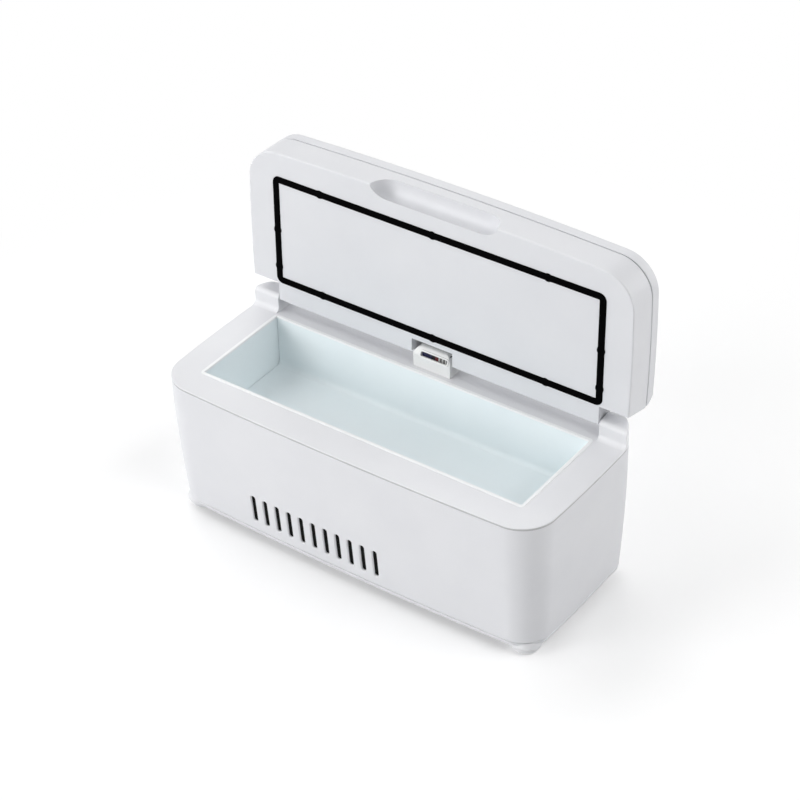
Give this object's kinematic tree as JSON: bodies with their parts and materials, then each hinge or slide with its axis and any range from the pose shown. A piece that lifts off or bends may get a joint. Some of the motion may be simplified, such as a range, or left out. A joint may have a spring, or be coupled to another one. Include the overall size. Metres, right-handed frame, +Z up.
{
  "type": "insulin cooling case",
  "caption": "White bench-top insulin cooling case with a lined compartment, front vents and a thick hinged lid with a black gasket.",
  "frame": {"origin": "on the surface that the feet stand on, under the middle of the open case's box", "axes": "+X along the case to its right end, -Y at its front with the vents, +Z up"},
  "size_m": [0.24, 0.1146, 0.1874],
  "materials": {
    "case_white": "fine satin moulded ABS, white",
    "bridge_white": "smoother moulded ABS, slightly warmer white",
    "key_white": "satin key cap",
    "tray_liner": "smooth white liner with a pale teal cast",
    "foam": "closed-cell foam",
    "leads": "coloured lead insulation",
    "circuit_board": "green solder mask",
    "black_plastic": "moulded black plastic",
    "cell_wrap": "shrink-wrapped cell",
    "bare_aluminium": "extruded",
    "steel": "zinc plated",
    "ceramic": "alumina plates",
    "foot_rubber": "soft pale grey rubber",
    "gasket_rubber": "black silicone cord",
    "display_black": "polished dark window"
  },
  "bodies": {
    "base": {"lower_case": "case_white", "bottom_cover": "case_white", "top_deck": "case_white", "wire_bridge": "bridge_white", "inner_tray": "tray_liner", "insulation_block": "foam", "hinge_leads": "leads", "main_board": "circuit_board", "dc_jack": "black_plastic", "battery_holder": "black_plastic", "battery_cell_1": "cell_wrap", "battery_cell_2": "cell_wrap", "battery_cell_3": "cell_wrap", "battery_cell_4": "cell_wrap", "cold_plate": "bare_aluminium", "temperature_sensor": "steel", "peltier_module": "ceramic", "heat_sink": "bare_aluminium", "fan_frame": "black_plastic", "fan_screw_front_left": "steel", "fan_screw_front_right": "steel", "fan_screw_rear_left": "steel", "fan_screw_rear_right": "steel", "bottom_screw_front_left": "steel", "bottom_screw_front_right": "steel", "bottom_screw_rear_left": "steel", "bottom_screw_rear_right": "steel", "foot_front_left": "foot_rubber", "foot_front_right": "foot_rubber", "foot_rear_left": "foot_rubber", "foot_rear_right": "foot_rubber", "deck_magnet_left": "steel", "deck_magnet_right": "steel", "hinge_pin_left": "steel", "hinge_pin_right": "steel"},
    "lid": {"lid_shell": "case_white", "lid_cover": "case_white", "lid_gasket": "gasket_rubber", "lid_insulation": "foam", "display_board": "circuit_board", "display_panel": "black_plastic", "display_window": "display_black", "key_switch_down": "black_plastic", "key_switch_power": "black_plastic", "key_switch_up": "black_plastic", "lid_leads": "leads", "lid_magnet_left": "steel", "lid_magnet_right": "steel"},
    "down_key": {"key_down": "key_white"},
    "power_key": {"key_power": "key_white"},
    "up_key": {"key_up": "key_white"},
    "rotor": {"fan_rotor": "black_plastic"}
  },
  "joints": [
    {"name": "lid_hinge", "type": "hinge", "parent": "base", "child": "lid", "pos_m": [0, 0.03598, 0.0943], "axis": [1, 0, 0], "range_deg": [0, 92.3]},
    {"name": "key_down_push", "type": "slide", "parent": "lid", "child": "down_key", "axis": [0, -0.9992, 0.0401], "range_m": [0, 0.0007], "stiffness_N_per_m": 400},
    {"name": "key_power_push", "type": "slide", "parent": "lid", "child": "power_key", "axis": [0, -0.9992, 0.0401], "range_m": [0, 0.0007], "stiffness_N_per_m": 400},
    {"name": "key_up_push", "type": "slide", "parent": "lid", "child": "up_key", "axis": [0, -0.9992, 0.0401], "range_m": [0, 0.0007], "stiffness_N_per_m": 400},
    {"name": "fan_spin", "type": "hinge", "parent": "base", "child": "rotor", "pos_m": [-0.0183, -0.00632, 0.03], "axis": [0, 0, 1], "continuous": true}
  ]
}
